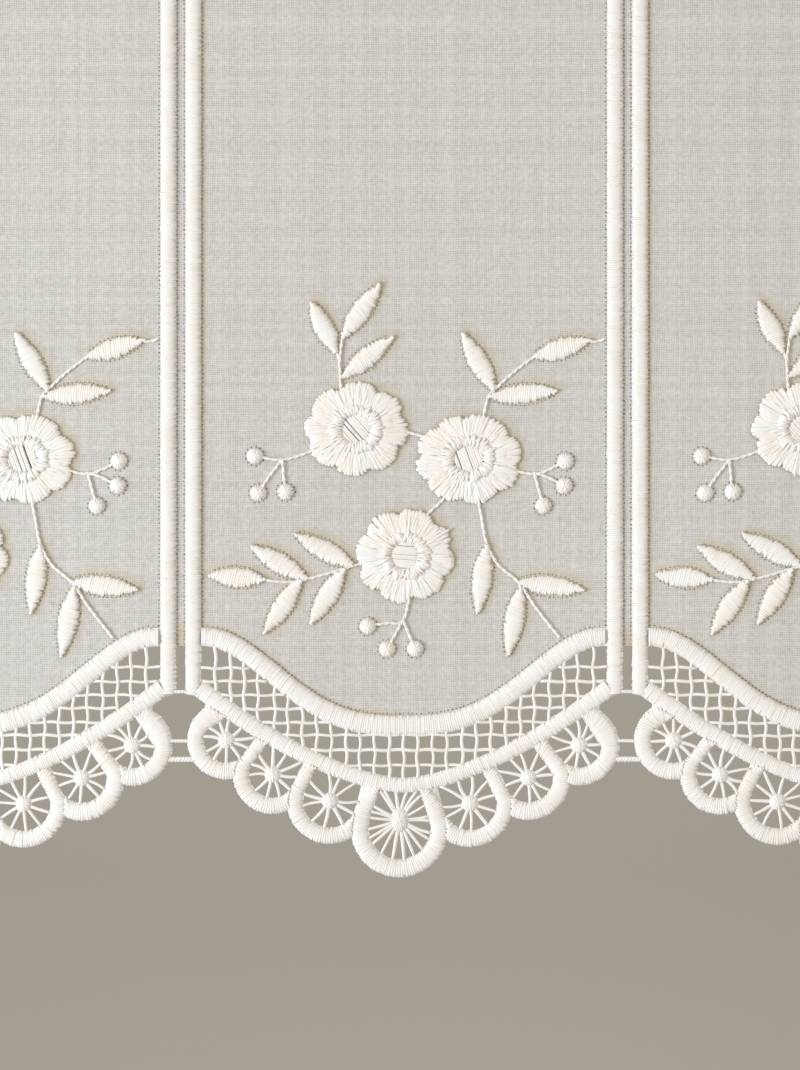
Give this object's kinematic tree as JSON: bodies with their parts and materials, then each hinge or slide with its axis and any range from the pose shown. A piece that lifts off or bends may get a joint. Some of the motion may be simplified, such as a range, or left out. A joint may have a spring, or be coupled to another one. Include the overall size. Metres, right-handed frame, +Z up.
{
  "type": "cafe curtain",
  "caption": "Short sheer curtain panel with a rod pocket, satin rails, embroidered rose sprays and a scalloped cut-lace border with spoked wheels along its lower edge",
  "frame": {"origin": "the middle of the top edge, in the plane of the cloth's front before its waves; the pocket's middle is 0.5 mm behind it", "axes": "+X to the right as seen from the front, +Y to the back, +Z up; the front faces -Y"},
  "size_m": [0.4936, 0.011, 0.45],
  "materials": {
    "voile": "sheer plain weave",
    "satin_thread": "satin stitch",
    "rose_thread": "raised satin stitch"
  },
  "bodies": {
    "root": {"rod_pocket": "voile", "voile_panel": "voile", "lace_border_1": "satin_thread", "lace_border_2": "satin_thread", "lace_border_3": "satin_thread", "rose_spray_1": "rose_thread", "rose_spray_2": "rose_thread", "rose_spray_3": "rose_thread"}
  },
  "joints": []
}
